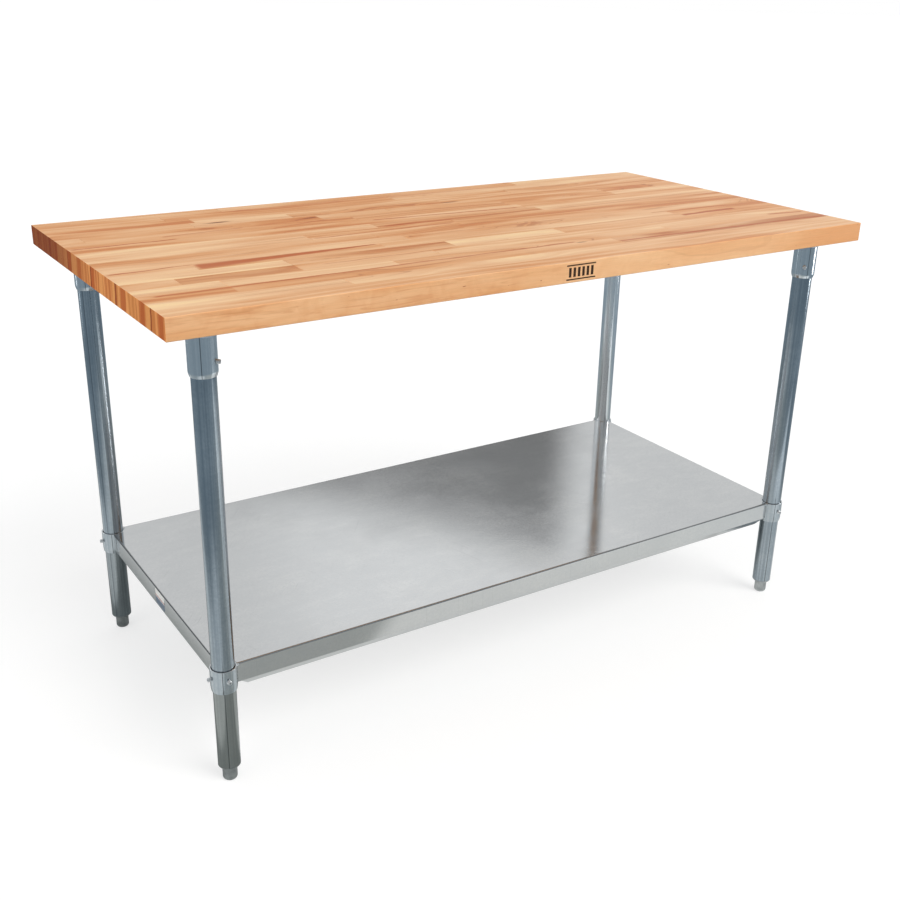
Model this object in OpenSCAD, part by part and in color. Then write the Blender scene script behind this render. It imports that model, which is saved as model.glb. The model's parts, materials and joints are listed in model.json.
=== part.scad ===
// Butcher block work table: a glued maple top on a knock-down base of galvanized tube,
// with an adjustable undershelf and screw-in levelling feet.
// Origin: on the floor, under the middle of the top. X runs along the length, -Y is the
// front, +Z is up.

/* [Worktop] */
// Length of the worktop
top_l = 1524; // [1500:1:1560]
// Depth of the worktop
top_d = 762; // [750:1:780]
// Thickness of the worktop
top_t = 38.1; // [34:0.1:46]
// Height of the working surface above the floor
work_h = 895.35; // [860:0.05:940]
// Number of staves glued edge to edge
stave_count = 18; // [16:2:20]
// Rounding of the top's long edges
top_ease = 2; // [0.5:0.5:4]

/* [Legs] */
// Outside diameter of the leg tube
leg_dia = 41.3; // [40:0.1:42]
// Wall of the leg tube
leg_wall = 1.5; // [1.2:0.1:2.5]
// From the worktop's end to the leg's centre
leg_inset_x = 79; // [76:1:90]
// From the worktop's long edge to the leg's centre
leg_inset_y = 70; // [66:1:80]

/* [Leg sockets] */
// Outside diameter of the socket under the top
socket_dia = 48.4; // [47.6:0.1:52]
// Height of the socket's lower edge above the floor
socket_z = 774; // [765:1:790]
// Height of the chamfer at the socket's lower edge
socket_chamfer = 7; // [4:1:10]

/* [Mounting channels] */
// Height of the hat channel that carries two sockets
channel_h = 13; // [10:1:24]
// Width over the channel's flanges
channel_w = 104; // [100:1:110]
// Sheet thickness of the channel
channel_t = 1.5; // [1.2:0.1:2]

/* [Undershelf] */
// Height of the shelf's deck above the floor
shelf_z = 238; // [200:1:300]
// Sheet thickness of the shelf
shelf_t = 1.2; // [1:0.1:1.6]
// Depth of the shelf's folded edge
shelf_edge_h = 38; // [30:1:42]
// Width of the return lip below the folded edge
shelf_lip_w = 15; // [10:1:18]
// Angle of the return lip from the vertical
shelf_lip_angle = 32; // [20:1:45]
// Height of the collar that grips each leg
collar_h = 46; // [40:1:50]
// Width of the stiffening channel under the deck
stiffener_w = 90; // [70:1:120]
// Depth of the stiffening channel under the deck
stiffener_h = 24; // [18:1:30]

/* [Levelling feet] */
// Visible height of the foot and its insert's shoulder
foot_h = 33; // [31:1:40]
// Diameter of the bullet foot
foot_dia = 27; // [24:1:30]
// Diameter of the threaded stud
stud_dia = 12.7; // [10:0.1:14]

/* [Fasteners] */
// Diameter of the set screws
set_screw_dia = 8; // [6:0.5:10]
// How far a set screw's head stands out
set_screw_out = 6; // [4:0.5:8]
// Diameter of the wood screws
wood_screw_dia = 5.5; // [4:0.5:6]

/* [Hidden] */
$fn = 64;

STAVE_NAMES = [for (i = [1:stave_count]) str("top_stave_", i < 10 ? "0" : "", i)];
CORNERS = ["front_left", "front_right", "back_left", "back_right"];

// Colours of the real materials
MAPLE = "burlywood";
MAPLE_DARK = "peru";
GALVANIZED = "lightslategray";
SHEET_STEEL = "silver";
ZINC_CAST = "gray";
SCREW_STEEL = "dimgray";

// Each corner's signs along X and Y, in the order of CORNERS
SIGNS = [[-1, -1], [1, -1], [-1, 1], [1, 1]];

leg_x = top_l / 2 - leg_inset_x;
leg_y = top_d / 2 - leg_inset_y;
leg_r = leg_dia / 2;
top_under = work_h - top_t;
stave_w = top_d / stave_count;
channel_under = top_under - channel_h;

// Where blocks meet end to end in each stave, front stave first, as shares of the length
BUTT_JOINTS = [
    [],
    [0.22],
    [0.1, 0.62],
    [0.1, 0.31, 0.73],
    [0.06, 0.2, 0.38],
    [0.2, 0.42, 0.59],
    [0.1, 0.34, 0.81],
    [0.39],
    [0.36, 0.49],
    [0.28, 0.5],
    [0.39, 0.66],
    [0.46, 0.65],
    [0.39, 0.64, 0.84],
    [0.03, 0.35, 0.46, 0.84],
    [0.18, 0.32, 0.56],
    [0.19, 0.7],
    [0.16, 0.51],
    [0.25, 0.75]
];
// Thickness of the glue lines between staves and between blocks
glue_gap = 0.1;

// Wood screws: one in every third stave from each end of the channel
SCREW_STAVES = [2, 5, 8];
SCREW_Y = [
    for (side = [-1, 1], s = SCREW_STAVES) side * (top_d / 2 - (s + 0.5) * stave_w)
];
channel_flange = 20;
screw_x = channel_w / 2 - channel_flange / 2;
wood_screw_len = 27;
wood_screw_tip = 6;
wood_screw_head_dia = 10.5;
wood_screw_head_taper = 3;
wood_screw_point_dia = 1;
wood_screw_head_h = 3;
// Play around every screw in its hole
screw_fit = 0.05;
// The channel stops short of the top's long edges
channel_end_gap = 54;
channel_l = top_d - 2 * channel_end_gap;

// Socket bore, chamfer and set screw
socket_fit = 0.2;
socket_chamfer_in = 2;
socket_screw_up = 25;
// Turn of the socket's screw: half way between the middle of the length and the near long edge
socket_screw_turn = 135;
// The leg's upper end stops just short of the channel
leg_top_gap = 0.2;

// Shelf outline: a little outside the leg centres, so that the collars form its corners
shelf_out_x = 6;
shelf_out_y = 5.5;
shelf_half_l = leg_x + shelf_out_x;
shelf_half_d = leg_y + shelf_out_y;
bend_r = 3;
lip_end_gap = 6;

// Collar: flared above, swaged in below so that it guides on the leg
collar_r = 24;
collar_flare_gap = 0.8;
collar_guide_gap = 0.35;
collar_swage_h = 9;
collar_swage_in = 1.2;
collar_screw_down = 20;
corner_notch_r = collar_r + 0.1;
// Length of a set screw's hole from the leg's centre, clear of every wall
screw_hole_l = collar_r + 5;

// The stiffener stops short of the shelf's two ends
stiffener_flange = 15;
stiffener_end_gap = 70;
stiffener_l = 2 * (shelf_half_l - stiffener_end_gap);

// Foot: bullet, stud and the insert pressed into the leg
insert_shoulder_h = 3.5;
insert_plug_l = 38;
insert_shoulder_r = leg_r - 2.2;
insert_rim_h = 1;
insert_fit = 0.05;
foot_gap = 0.5;
foot_round = 6;
foot_chamfer = 2;
stud_up = 52;
stud_socket = 20;
stud_fit = 0.06;

// Set screw: grip end clear of the leg, hexagon socket in the head
screw_tip_gap = 0.3;
hex_socket_af = 4;
hex_socket_depth = 3.5;

label_w = 50;
label_h = 32;
label_t = 0.25;

// Draws its children at one corner; the children are drawn for the corner at +X, +Y
module at_corner(i) {
    translate([SIGNS[i][0] * leg_x, SIGNS[i][1] * leg_y, 0])
        mirror([SIGNS[i][0] < 0 ? 1 : 0, 0, 0])
            mirror([0, SIGNS[i][1] < 0 ? 1 : 0, 0])
                children();
}

// ---- Worktop ----

// Section of a stave, half a glue line short of its neighbours; an outer stave keeps its
// outer face at full size and has its outer edges eased
module stave_section(outer) {
    ease = outer ? top_ease : glue_gap / 2;
    inner = stave_w - glue_gap / 2;
    translate([ease, 0]) square([inner - ease, top_t]);
    if (outer) {
        translate([0, ease]) square([inner, top_t - 2 * ease]);
        for (y = [ease, top_t - ease])
            translate([ease, y]) circle(ease, $fn = 32);
    }
}

// Blind pilot holes for the wood screws
module pilot_holes() {
    for (sx = [-1, 1], side = [-1, 1], y = SCREW_Y)
        translate([sx * leg_x + side * screw_x, y, top_under - 1])
            cylinder(d = wood_screw_dia + 2 * screw_fit, h = wood_screw_len + 1);
}

// One stave, i = 0 at the front, as blocks glued end to end
module top_stave(i) {
    joints = concat([0], BUTT_JOINTS[i % len(BUTT_JOINTS)], [1]);
    outer = i == 0 || i == stave_count - 1;
    back = i > stave_count / 2;
    color(i % 3 == 0 ? MAPLE_DARK : MAPLE)
        difference() {
            for (k = [0:len(joints) - 2])
                let (
                    x0 = (joints[k] - 0.5) * top_l + (k > 0 ? glue_gap / 2 : 0),
                    x1 = (joints[k + 1] - 0.5) * top_l - (k < len(joints) - 2 ? glue_gap / 2 : 0)
                )
                translate([x0, -top_d / 2 + (back ? i + 1 : i) * stave_w, top_under])
                    mirror([0, back ? 1 : 0, 0])
                        rotate([90, 0, 90])
                            linear_extrude(x1 - x0)
                                stave_section(outer);
            pilot_holes();
        }
}

// ---- Mounting channels under the top ----

// Section of a hat channel, flanges up on y = 0 and crown below
module hat_section(w, h, flange, t) {
    for (s = [-1, 1]) {
        translate([s > 0 ? w / 2 - flange : -w / 2, -t]) square([flange, t]);
        translate([s > 0 ? w / 2 - flange : -w / 2 + flange - t, -h]) square([t, h]);
    }
    translate([-w / 2 + flange - t, -h]) square([w - 2 * flange + 2 * t, t]);
}

// Hat channel that runs front to back and carries two sockets
module mounting_channel(side) {
    color(GALVANIZED)
        difference() {
            translate([side * leg_x, channel_l / 2, top_under])
                rotate([90, 0, 0])
                    linear_extrude(channel_l)
                        hat_section(channel_w, channel_h, channel_flange, channel_t);
            for (s = [-1, 1], y = SCREW_Y)
                translate([side * leg_x + s * screw_x, y, top_under - channel_t - 1])
                    cylinder(d = wood_screw_dia + 2 * screw_fit, h = channel_t + 2);
        }
}

// Pan-head wood screw, head down, seat of the head on z = 0
module wood_screw() {
    translate([0, 0, -wood_screw_head_h])
        cylinder(
            d1 = wood_screw_head_dia - wood_screw_head_taper,
            d2 = wood_screw_head_dia,
            h = wood_screw_head_h
        );
    cylinder(d = wood_screw_dia, h = wood_screw_len - wood_screw_tip);
    translate([0, 0, wood_screw_len - wood_screw_tip])
        cylinder(d1 = wood_screw_dia, d2 = wood_screw_point_dia, h = wood_screw_tip);
}

module channel_wood_screws() {
    color(SCREW_STEEL)
        for (side = [-1, 1], s = [-1, 1], y = SCREW_Y)
            translate([side * leg_x + s * screw_x, y, top_under - channel_t])
                wood_screw();
}

// ---- Leg sockets, legs and set screws ----

// Set screw lying along +X from the leg's centre, through a wall of outer radius wall_r
module set_screw(wall_r) {
    tip = leg_r + screw_tip_gap;
    head = wall_r + set_screw_out;
    rotate([0, 90, 0])
        difference() {
            translate([0, 0, tip]) cylinder(d = set_screw_dia - 2 * screw_fit, h = head - tip);
            translate([0, 0, head - hex_socket_depth])
                cylinder(r = hex_socket_af / sqrt(3), h = hex_socket_depth + 1, $fn = 6);
        }
}

// Threaded hole for a set screw along +X
module set_screw_hole() {
    rotate([0, 90, 0]) cylinder(d = set_screw_dia, h = screw_hole_l);
}

// Sleeve welded under the channel; the leg slides into it from below
module leg_socket(i) {
    r_out = socket_dia / 2;
    r_in = leg_r + socket_fit;
    h = channel_under - socket_z;
    color(GALVANIZED)
        at_corner(i)
            difference() {
                translate([0, 0, socket_z])
                    rotate_extrude()
                        polygon([
                            [r_in, 0],
                            [r_out - socket_chamfer_in, 0],
                            [r_out, socket_chamfer],
                            [r_out, h],
                            [r_in, h]
                        ]);
                translate([0, 0, socket_z + socket_screw_up])
                    rotate(socket_screw_turn) set_screw_hole();
            }
}

// One set screw in each socket, facing in along the length and out over the long edge
module socket_set_screws() {
    color(SCREW_STEEL)
        for (i = [0:3])
            at_corner(i)
                translate([0, 0, socket_z + socket_screw_up])
                    rotate(socket_screw_turn) set_screw(socket_dia / 2);
}

module leg(i) {
    color(GALVANIZED)
        at_corner(i)
            translate([0, 0, foot_h])
                difference() {
                    cylinder(r = leg_r, h = channel_under - foot_h - leg_top_gap);
                    translate([0, 0, -1])
                        cylinder(r = leg_r - leg_wall, h = channel_under - foot_h + 2);
                }
}

// ---- Levelling feet ----

// Plug pressed into the leg, with a chamfered shoulder under the tube's end
module foot_insert(i) {
    plug_r = leg_r - leg_wall - insert_fit;
    color(ZINC_CAST)
        at_corner(i)
            difference() {
                translate([0, 0, foot_h - insert_shoulder_h])
                    rotate_extrude()
                        polygon([
                            [0, 0],
                            [insert_shoulder_r, 0],
                            [leg_r, insert_shoulder_h - insert_rim_h],
                            [leg_r, insert_shoulder_h],
                            [plug_r, insert_shoulder_h],
                            [plug_r, insert_shoulder_h + insert_plug_l],
                            [0, insert_shoulder_h + insert_plug_l]
                        ]);
                cylinder(d = stud_dia + 2 * stud_fit, h = foot_h + 2 * insert_plug_l);
            }
}

// Threaded stud, fixed in the foot and screwed into the insert
module foot_stud(i) {
    foot_top = foot_h - insert_shoulder_h - foot_gap;
    color(SCREW_STEEL)
        at_corner(i)
            translate([0, 0, foot_top - stud_socket])
                cylinder(d = stud_dia, h = stud_socket + stud_up);
}

// Bullet foot with a rounded lower edge, hollow for the stud
module foot(i) {
    r = foot_dia / 2;
    top = foot_h - insert_shoulder_h - foot_gap;
    color(ZINC_CAST)
        at_corner(i)
            difference() {
                rotate_extrude() {
                    square([r - foot_round, foot_round]);
                    translate([r - foot_round, foot_round])
                        intersection() {
                            circle(foot_round);
                            translate([0, -foot_round]) square(foot_round);
                        }
                    polygon([
                        [0, foot_round],
                        [r, foot_round],
                        [r, top - foot_chamfer],
                        [r - foot_chamfer, top],
                        [0, top]
                    ]);
                }
                translate([0, 0, top - stud_socket - screw_fit])
                    cylinder(d = stud_dia + 2 * screw_fit, h = stud_socket + 1);
            }
}

// ---- Undershelf ----

// Section of the folded edge: outer face on x = 0, deck's top on y = 0, the deck lies at -x
module fold_section() {
    translate([-bend_r, -bend_r])
        intersection() {
            difference() {
                circle(bend_r);
                circle(bend_r - shelf_t);
            }
            square(bend_r + 1);
        }
    translate([-shelf_t, -shelf_edge_h]) square([shelf_t, shelf_edge_h - bend_r]);
}

// Return lip with mitred ends; outer face of the edge on y = 0, outward is -Y
module return_lip(run) {
    half = run / 2;
    translate([0, 0, -shelf_edge_h])
        rotate([90 + shelf_lip_angle, 0, 0])
            translate([0, 0, -shelf_t])
                linear_extrude(shelf_t)
                    polygon([
                        [-half, 0],
                        [half, 0],
                        [half - shelf_lip_w, -shelf_lip_w],
                        [shelf_lip_w - half, -shelf_lip_w]
                    ]);
}

// One folded edge of the shelf, outward along -Y
module folded_edge(run) {
    rotate([90, 0, -90])
        translate([0, 0, -run / 2])
            linear_extrude(run)
                fold_section();
    return_lip(run - 2 * lip_end_gap);
}

module shelf_deck() {
    edge_x = 2 * (leg_x - corner_notch_r);
    edge_y = 2 * (leg_y - corner_notch_r);
    color(SHEET_STEEL)
        translate([0, 0, shelf_z])
            difference() {
                union() {
                    translate([bend_r - shelf_half_l, bend_r - shelf_half_d, -shelf_t])
                        cube([2 * (shelf_half_l - bend_r), 2 * (shelf_half_d - bend_r), shelf_t]);
                    for (s = [0, 180]) {
                        rotate(s) translate([0, -shelf_half_d, 0]) folded_edge(edge_x);
                        rotate(s + 90) translate([0, -shelf_half_l, 0]) folded_edge(edge_y);
                    }
                }
                for (i = [0:3])
                    at_corner(i)
                        translate([0, 0, -shelf_edge_h])
                            cylinder(r = corner_notch_r, h = 2 * shelf_edge_h);
            }
}

// Hat channel along the middle of the deck's underside
module shelf_stiffener() {
    color(GALVANIZED)
        translate([-stiffener_l / 2, 0, shelf_z - shelf_t])
            rotate([90, 0, 90])
                linear_extrude(stiffener_l)
                    hat_section(stiffener_w, stiffener_h, stiffener_flange, shelf_t);
}

module shelf_collar(i) {
    r_in = leg_r + collar_flare_gap;
    r_guide = leg_r + collar_guide_gap;
    color(GALVANIZED)
        at_corner(i)
            difference() {
                translate([0, 0, shelf_z - collar_h])
                    rotate_extrude()
                        polygon([
                            [r_guide, 0],
                            [collar_r - collar_swage_in, 0],
                            [collar_r, collar_swage_h],
                            [collar_r, collar_h],
                            [r_in, collar_h],
                            [r_in, collar_swage_h]
                        ]);
                translate([0, 0, shelf_z - collar_screw_down]) {
                    set_screw_hole();
                    rotate(90) set_screw_hole();
                }
            }
}

// Two set screws in each collar, facing out along X and along Y
module shelf_set_screws() {
    color(SCREW_STEEL)
        for (i = [0:3])
            at_corner(i)
                translate([0, 0, shelf_z - collar_screw_down]) {
                    set_screw(collar_r);
                    rotate(90) set_screw(collar_r);
                }
}

// Plain sticker on the shelf's left edge
module shelf_label() {
    color("white")
        translate([-shelf_half_l - label_t, -label_w / 2, shelf_z - bend_r - label_h])
            cube([label_t, label_w, label_h]);
}

// ---- Assembly ----

for (i = [0:stave_count - 1])
    top_stave(i);
mounting_channel(-1);  // mounting_channel_left
mounting_channel(1);  // mounting_channel_right
channel_wood_screws();
socket_set_screws();
for (i = [0:3]) {
    leg_socket(i);
    leg(i);
    foot_insert(i);
    foot_stud(i);
    foot(i);
    shelf_collar(i);
}
shelf_deck();
shelf_stiffener();
shelf_set_screws();
shelf_label();
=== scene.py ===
"""Looks of the butcher block work table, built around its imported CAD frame."""
import json
import math
import random

import bmesh
import bpy
from mathutils import Matrix, Vector

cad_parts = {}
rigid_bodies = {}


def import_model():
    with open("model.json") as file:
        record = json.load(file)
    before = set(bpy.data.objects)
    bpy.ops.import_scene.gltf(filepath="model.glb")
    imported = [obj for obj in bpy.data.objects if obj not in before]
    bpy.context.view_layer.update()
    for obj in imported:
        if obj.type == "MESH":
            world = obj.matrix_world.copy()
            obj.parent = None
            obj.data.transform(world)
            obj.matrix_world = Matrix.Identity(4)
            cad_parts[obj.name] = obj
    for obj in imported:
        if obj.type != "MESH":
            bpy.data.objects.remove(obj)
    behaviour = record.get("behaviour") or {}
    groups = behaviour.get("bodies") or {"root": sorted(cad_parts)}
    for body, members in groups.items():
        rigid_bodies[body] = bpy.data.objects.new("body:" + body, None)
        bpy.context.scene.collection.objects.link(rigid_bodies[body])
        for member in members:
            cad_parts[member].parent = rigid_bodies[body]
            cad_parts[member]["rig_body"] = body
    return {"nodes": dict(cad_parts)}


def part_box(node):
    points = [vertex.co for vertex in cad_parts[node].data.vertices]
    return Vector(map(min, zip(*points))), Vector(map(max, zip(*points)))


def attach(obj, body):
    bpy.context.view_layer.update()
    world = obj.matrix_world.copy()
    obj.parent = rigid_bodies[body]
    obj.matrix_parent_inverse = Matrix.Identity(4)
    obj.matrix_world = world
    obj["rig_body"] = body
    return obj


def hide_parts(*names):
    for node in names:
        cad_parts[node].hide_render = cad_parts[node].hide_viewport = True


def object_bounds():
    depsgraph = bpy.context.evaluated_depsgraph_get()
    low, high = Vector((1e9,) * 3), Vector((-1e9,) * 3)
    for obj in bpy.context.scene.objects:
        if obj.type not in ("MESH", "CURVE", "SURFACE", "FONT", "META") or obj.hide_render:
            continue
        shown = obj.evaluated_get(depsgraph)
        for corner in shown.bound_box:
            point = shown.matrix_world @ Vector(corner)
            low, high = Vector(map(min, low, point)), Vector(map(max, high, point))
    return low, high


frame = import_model()
cad_low, cad_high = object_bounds()

MM = 0.001
CORNERS = ("front_left", "front_right", "back_left", "back_right")
STAVES = sorted(name for name in frame["nodes"] if name.startswith("top_stave_"))
STAVE_W = (cad_high.y - cad_low.y) / len(STAVES)
TOP_LOW, TOP_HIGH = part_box("top_stave_01")
SHELF_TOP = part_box("shelf_deck")[1].z

# ---- Node shorthand ----


def srgb(code):
    """Linear colour from a six-digit sRGB hex code."""
    def linear(share):
        return share / 12.92 if share <= 0.04045 else ((share + 0.055) / 1.055) ** 2.4

    return tuple(linear(int(code[i:i + 2], 16) / 255) for i in (0, 2, 4)) + (1,)


class Nodes:
    """Short calls that add nodes to one tree. Values may be numbers or sockets."""

    def __init__(self, tree):
        self.tree = tree

    def feed(self, socket, value):
        if isinstance(value, bpy.types.NodeSocket):
            self.tree.links.new(value, socket)
        else:
            socket.default_value = value

    def node(self, kind, output, inputs, **settings):
        """Adds a node and returns one of its outputs; inputs maps names or numbers to values."""
        node = self.tree.nodes.new(kind)
        for name, value in settings.items():
            setattr(node, name, value)
        for name, value in inputs.items():
            self.feed(node.inputs[name], value)
        return node.outputs[output]

    def math(self, operation, a, b=0.0):
        return self.node("ShaderNodeMath", 0, {0: a, 1: b}, operation=operation)

    def plus(self, a, b):
        return self.math("ADD", a, b)

    def minus(self, a, b):
        return self.math("SUBTRACT", a, b)

    def times(self, a, b):
        return self.math("MULTIPLY", a, b)

    def vector(self, operation, a, b=(0, 0, 0)):
        output = "Value" if operation in ("LENGTH", "DOT_PRODUCT") else "Vector"
        return self.node("ShaderNodeVectorMath", output, {0: a, 1: b}, operation=operation)

    def combine(self, x, y, z):
        return self.node("ShaderNodeCombineXYZ", 0, {"X": x, "Y": y, "Z": z})

    def split(self, vector):
        node = self.tree.nodes.new("ShaderNodeSeparateXYZ")
        self.feed(node.inputs[0], vector)
        return node.outputs["X"], node.outputs["Y"], node.outputs["Z"]

    def attribute(self, name):
        return self.node("ShaderNodeAttribute", "Vector", {}, attribute_name=name)

    def place(self, output="Object"):
        return self.node("ShaderNodeTexCoord", output, {})

    def noise(self, vector, scale, detail, roughness, distortion=0.0):
        inputs = {"Vector": vector, "Scale": scale, "Detail": detail}
        inputs |= {"Roughness": roughness, "Distortion": distortion}
        return self.node("ShaderNodeTexNoise", "Fac", inputs)

    def noise_line(self, value, scale, detail):
        """Noise along one line."""
        inputs = {"W": value, "Scale": scale, "Detail": detail}
        return self.node("ShaderNodeTexNoise", "Fac", inputs, noise_dimensions="1D")

    def cells(self, vector, scale):
        """One flat random colour for each cell of a Voronoi pattern."""
        return self.node("ShaderNodeTexVoronoi", "Color", {"Vector": vector, "Scale": scale})

    def scaled(self, vector, x, y, z):
        return self.vector("MULTIPLY", vector, (x, y, z))

    def smooth(self, value, low, high, to_low=0.0, to_high=1.0):
        """Smooth step from to_low at low to to_high at high."""
        inputs = {"Value": value, "From Min": low, "From Max": high}
        inputs |= {"To Min": to_low, "To Max": to_high}
        return self.node("ShaderNodeMapRange", "Result", inputs, interpolation_type="SMOOTHSTEP")

    def mix(self, share, a, b, blend="MIX"):
        inputs = {0: share, 6: a, 7: b}
        return self.node("ShaderNodeMix", 2, inputs, data_type="RGBA", blend_type=blend)

    def bump(self, height, distance, strength, normal=None):
        inputs = {"Height": height, "Distance": distance, "Strength": strength}
        if normal is not None:
            inputs["Normal"] = normal
        return self.node("ShaderNodeBump", "Normal", inputs)


class Paint(Nodes):
    """One material with the usual shader."""

    def __init__(self, name):
        self.material = bpy.data.materials.new(name)
        self.material.use_nodes = True
        super().__init__(self.material.node_tree)
        self.surface = self.tree.nodes["Principled BSDF"]

    def finish(self, **inputs):
        """Sets the shader's inputs; an underscore stands for a space."""
        for name, value in inputs.items():
            self.feed(self.surface.inputs[name.replace("_", " ")], value)
        return self.material


def add_object(name, data):
    """Puts a new object into the scene."""
    thing = bpy.data.objects.new(name, data)
    bpy.context.scene.collection.objects.link(thing)
    return thing


# ---- Camera, light and floor ----

# Fitted to the photo; the lens is in mm for a sensor 36 mm wide
CAMERA_PLACE = (-1.2884, -1.9684, 1.3603)
CAMERA_AZIMUTH = math.radians(-32.946)
CAMERA_ELEVATION = math.radians(22.382)
CAMERA_ROLL = math.radians(1.118)
CAMERA_LENS = 46.08
CAMERA_SHIFT = (-0.002, 0.0019)


def make_camera():
    """Looks down on the table's front left corner; azimuth 0 would look along +Y."""
    data = bpy.data.cameras.new("camera")
    data.sensor_width = 36
    data.lens = CAMERA_LENS
    data.shift_x, data.shift_y = CAMERA_SHIFT
    camera = add_object("camera", data)
    flat = math.cos(CAMERA_ELEVATION)
    back = Vector((
        math.sin(CAMERA_AZIMUTH) * flat,
        -math.cos(CAMERA_AZIMUTH) * flat,
        math.sin(CAMERA_ELEVATION),
    ))
    right = Vector((0, 0, 1)).cross(back).normalized()
    up = back.cross(right)
    turn = Matrix((right, up, back)).transposed() @ Matrix.Rotation(CAMERA_ROLL, 3, "Z")
    camera.matrix_world = Matrix.Translation(CAMERA_PLACE) @ turn.to_4x4()
    bpy.context.scene.camera = camera


def aim(light, place, target):
    light.location = place
    light.rotation_euler = (Vector(target) - Vector(place)).to_track_quat("-Z", "Y").to_euler()


def make_light(name, kind, place, target, strength, colour, size, in_gloss):
    """A sun's size is its angle in radians; an area light's is its width and height.
    A light shows either in reflections only or in everything but reflections."""
    data = bpy.data.lights.new(name, kind)
    data.energy = strength
    data.color = colour
    if kind == "SUN":
        data.angle = size[0]
    else:
        data.shape = "RECTANGLE"
        data.size = size[0]
        data.size_y = size[1]
    light = add_object(name, data)
    aim(light, place, target)
    light.visible_camera = False
    light.visible_glossy = in_gloss
    light.visible_diffuse = not in_gloss


def make_lights():
    middle = (0, 0, 0.5)
    make_light("key", "SUN", (1.0, -2.4, 2.4), middle, 2.3, (1, 0.985, 0.96), (0.8, 0), False)
    make_light("fill", "SUN", (-2.5, -0.9, 1.0), middle, 1.3, (1, 0.97, 0.93), (1.0, 0), False)
    make_light("strip_right", "AREA", (3.4, -1.6, 0.9), middle, 22, (1, 1, 1), (0.35, 1.8), True)
    make_light("strip_left", "AREA", (-2.6, 2.0, 0.8), middle, 2.5, (0.93, 0.97, 1), (0.3, 1.6), True)


# A dark screen behind the table, seen only in the shelf. Its upper edge slopes with the heading.
SCREEN_RIGHT = math.radians(50.5)
SCREEN_EDGE_AT_RIGHT = math.radians(27.5)
SCREEN_EDGE_SLOPE = -0.23
SCREEN_SOFTNESS = math.radians(1.6)
SCREEN_DARKNESS = 0.72
# The brightest part of the backdrop, just above the screen
GLOW_DIRECTION = (0.478, 0.737, 0.477)
GLOW_STRENGTH = 1.25


def backdrop_strength(t):
    """Brighter behind the table than in front of it, with a dark screen and a glow behind."""
    direction = t.place("Generated")
    x, y, z = t.split(direction)
    depth = t.smooth(y, -0.9, 0.7, 0.42, 0.76)
    heading = t.math("ARCTAN2", y, x)
    elevation = t.math("ARCSINE", z)
    from_right = t.minus(heading, SCREEN_RIGHT)
    edge = t.plus(t.times(from_right, SCREEN_EDGE_SLOPE), SCREEN_EDGE_AT_RIGHT)
    below = t.smooth(t.minus(elevation, edge), SCREEN_SOFTNESS, -SCREEN_SOFTNESS)
    beside = t.smooth(from_right, -0.5 * SCREEN_SOFTNESS, SCREEN_SOFTNESS)
    covered = t.times(below, beside)
    screen = t.minus(1.0, t.times(covered, SCREEN_DARKNESS))
    near_glow = t.vector("DOT_PRODUCT", direction, GLOW_DIRECTION)
    glow = t.smooth(near_glow, 0.98, 1.0, 1.0, GLOW_STRENGTH)
    return t.times(depth, t.times(screen, glow))


def split_by_viewer(t, for_camera, for_others, output):
    """Shows the camera one shader and everything else another."""
    camera_ray = t.node("ShaderNodeLightPath", "Is Camera Ray", {})
    mixed = t.node("ShaderNodeMixShader", 0, {0: camera_ray, 1: for_others, 2: for_camera})
    t.tree.links.new(mixed, t.tree.nodes[output].inputs["Surface"])


def make_world():
    """White to the eye; what lights the table and shows in the metal is graded."""
    world = bpy.data.worlds.new("studio")
    world.use_nodes = True
    bpy.context.scene.world = world
    t = Nodes(world.node_tree)
    lit_inputs = {"Color": (0.96, 0.985, 1, 1), "Strength": backdrop_strength(t)}
    lit = t.node("ShaderNodeBackground", 0, lit_inputs)
    seen = t.node("ShaderNodeBackground", 0, {"Color": (1, 1, 1, 1), "Strength": 1.0})
    split_by_viewer(t, seen, lit, "World Output")


def floor_bounce(t):
    """The floor as the table's metal sees it: bluish far away, with two bright patches."""
    place = t.place()
    x, y = t.split(place)[:2]
    away = t.smooth(t.vector("LENGTH", place), 0.7, 2.2)
    colour = t.mix(away, (0.39, 0.42, 0.42, 1), (0.23, 0.285, 0.33, 1))
    diffuse = t.node("ShaderNodeBsdfDiffuse", "BSDF", {"Color": colour})
    # In front, to the right of the slanting line x + slant * y + offset = 0
    slant, offset, blur = 1.19, 0.945, 0.03
    beside_line = t.plus(t.plus(x, t.times(y, slant)), offset)
    front = t.times(t.smooth(beside_line, -blur, blur), t.smooth(y, -0.1, -0.3))
    front = t.times(front, t.smooth(x, 1.4, 1.0))
    front = t.times(front, t.smooth(y, -0.75, -1.05, 0.35, 0.72))
    # Along the left end
    left = t.times(t.smooth(x, -0.78, -0.84), t.smooth(x, -1.5, -1.2))
    left = t.times(left, t.smooth(t.math("ABSOLUTE", y), 1.3, 0.9, 0, 0.34))
    glow = t.node("ShaderNodeEmission", 0, {"Strength": t.plus(front, left)})
    return t.node("ShaderNodeAddShader", 0, {0: diffuse, 1: glow})


def make_floor():
    """A wide pale floor that glows a little, so that the table's shadow stays light."""
    bm = bmesh.new()
    bmesh.ops.create_circle(bm, cap_ends=True, radius=60, segments=96)
    mesh = bpy.data.meshes.new("floor")
    bm.to_mesh(mesh)
    bm.free()
    floor = add_object("floor", mesh)
    t = Paint("pale_floor")
    t.finish(
        Roughness=0.9,
        Specular_IOR_Level=0,
        Base_Color=(0.4, 0.4, 0.4, 1),
        Emission_Color=(1, 1, 1, 1),
        Emission_Strength=0.64,
    )
    split_by_viewer(t, t.surface.outputs["BSDF"], floor_bounce(t), "Material Output")
    mesh.materials.append(t.material)


# ---- Materials ----

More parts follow.
